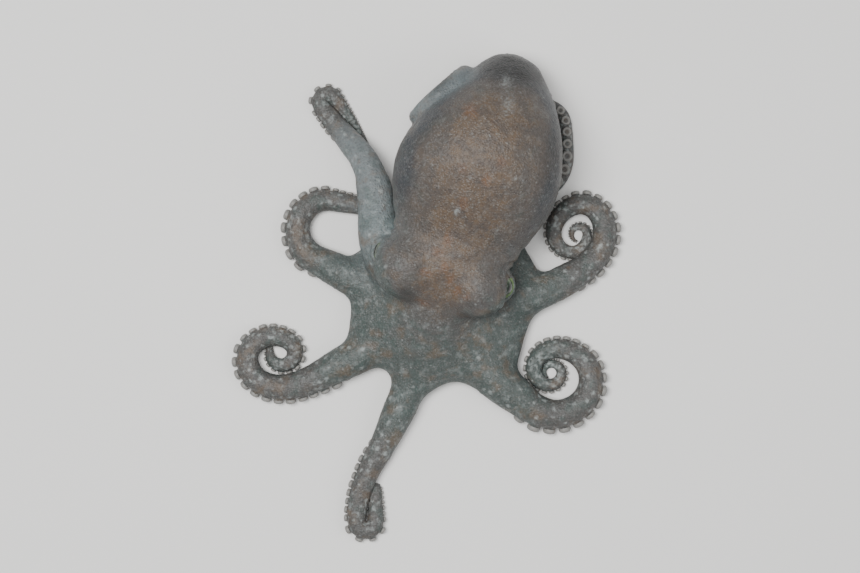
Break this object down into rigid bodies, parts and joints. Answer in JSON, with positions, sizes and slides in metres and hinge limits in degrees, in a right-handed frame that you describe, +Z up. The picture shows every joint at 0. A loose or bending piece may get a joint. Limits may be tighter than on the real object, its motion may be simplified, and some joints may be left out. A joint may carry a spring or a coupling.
{
  "type": "curled octopus model",
  "caption": "Life-size still model of a small curled octopus at rest, with a plump mantle, raised eye mounds and arms rolled into spirals with one row of suckers.",
  "frame": {"origin": "bottom centre of the whole animal's bounding box, on the floor that it rests on", "axes": "+Z up, +Y from the mouth end towards the mantle tip, +X to the animal's left"},
  "size_m": [0.1592, 0.2028, 0.06],
  "materials": {
    "skin": "moist, finely granular skin, pale grey with orange-brown mottling and small white spots",
    "eye": "wet dark eye with a pale green rim"
  },
  "bodies": {
    "root": {"mantle": "skin", "head": "skin", "eye_left": "eye", "eye_right": "eye", "funnel": "skin", "crown": "skin", "arm_left_1_part_1": "skin", "arm_left_1_part_2": "skin", "arm_left_1_part_3": "skin", "arm_left_1_part_4": "skin", "arm_left_2_part_1": "skin", "arm_left_2_part_2": "skin", "arm_left_2_part_3": "skin", "arm_left_2_part_4": "skin", "arm_left_3_part_1": "skin", "arm_left_3_part_2": "skin", "arm_left_3_part_3": "skin", "arm_left_3_part_4": "skin", "arm_left_4_part_1": "skin", "arm_left_4_part_2": "skin", "arm_left_4_part_3": "skin", "arm_left_4_part_4": "skin", "arm_right_4_part_1": "skin", "arm_right_4_part_2": "skin", "arm_right_4_part_3": "skin", "arm_right_3_part_1": "skin", "arm_right_3_part_2": "skin", "arm_right_3_part_3": "skin", "arm_right_3_part_4": "skin", "arm_right_2_part_1": "skin", "arm_right_2_part_2": "skin", "arm_right_2_part_3": "skin", "arm_right_2_part_4": "skin", "arm_right_1_part_1": "skin", "arm_right_1_part_2": "skin", "arm_right_1_part_3": "skin"}
  },
  "joints": []
}
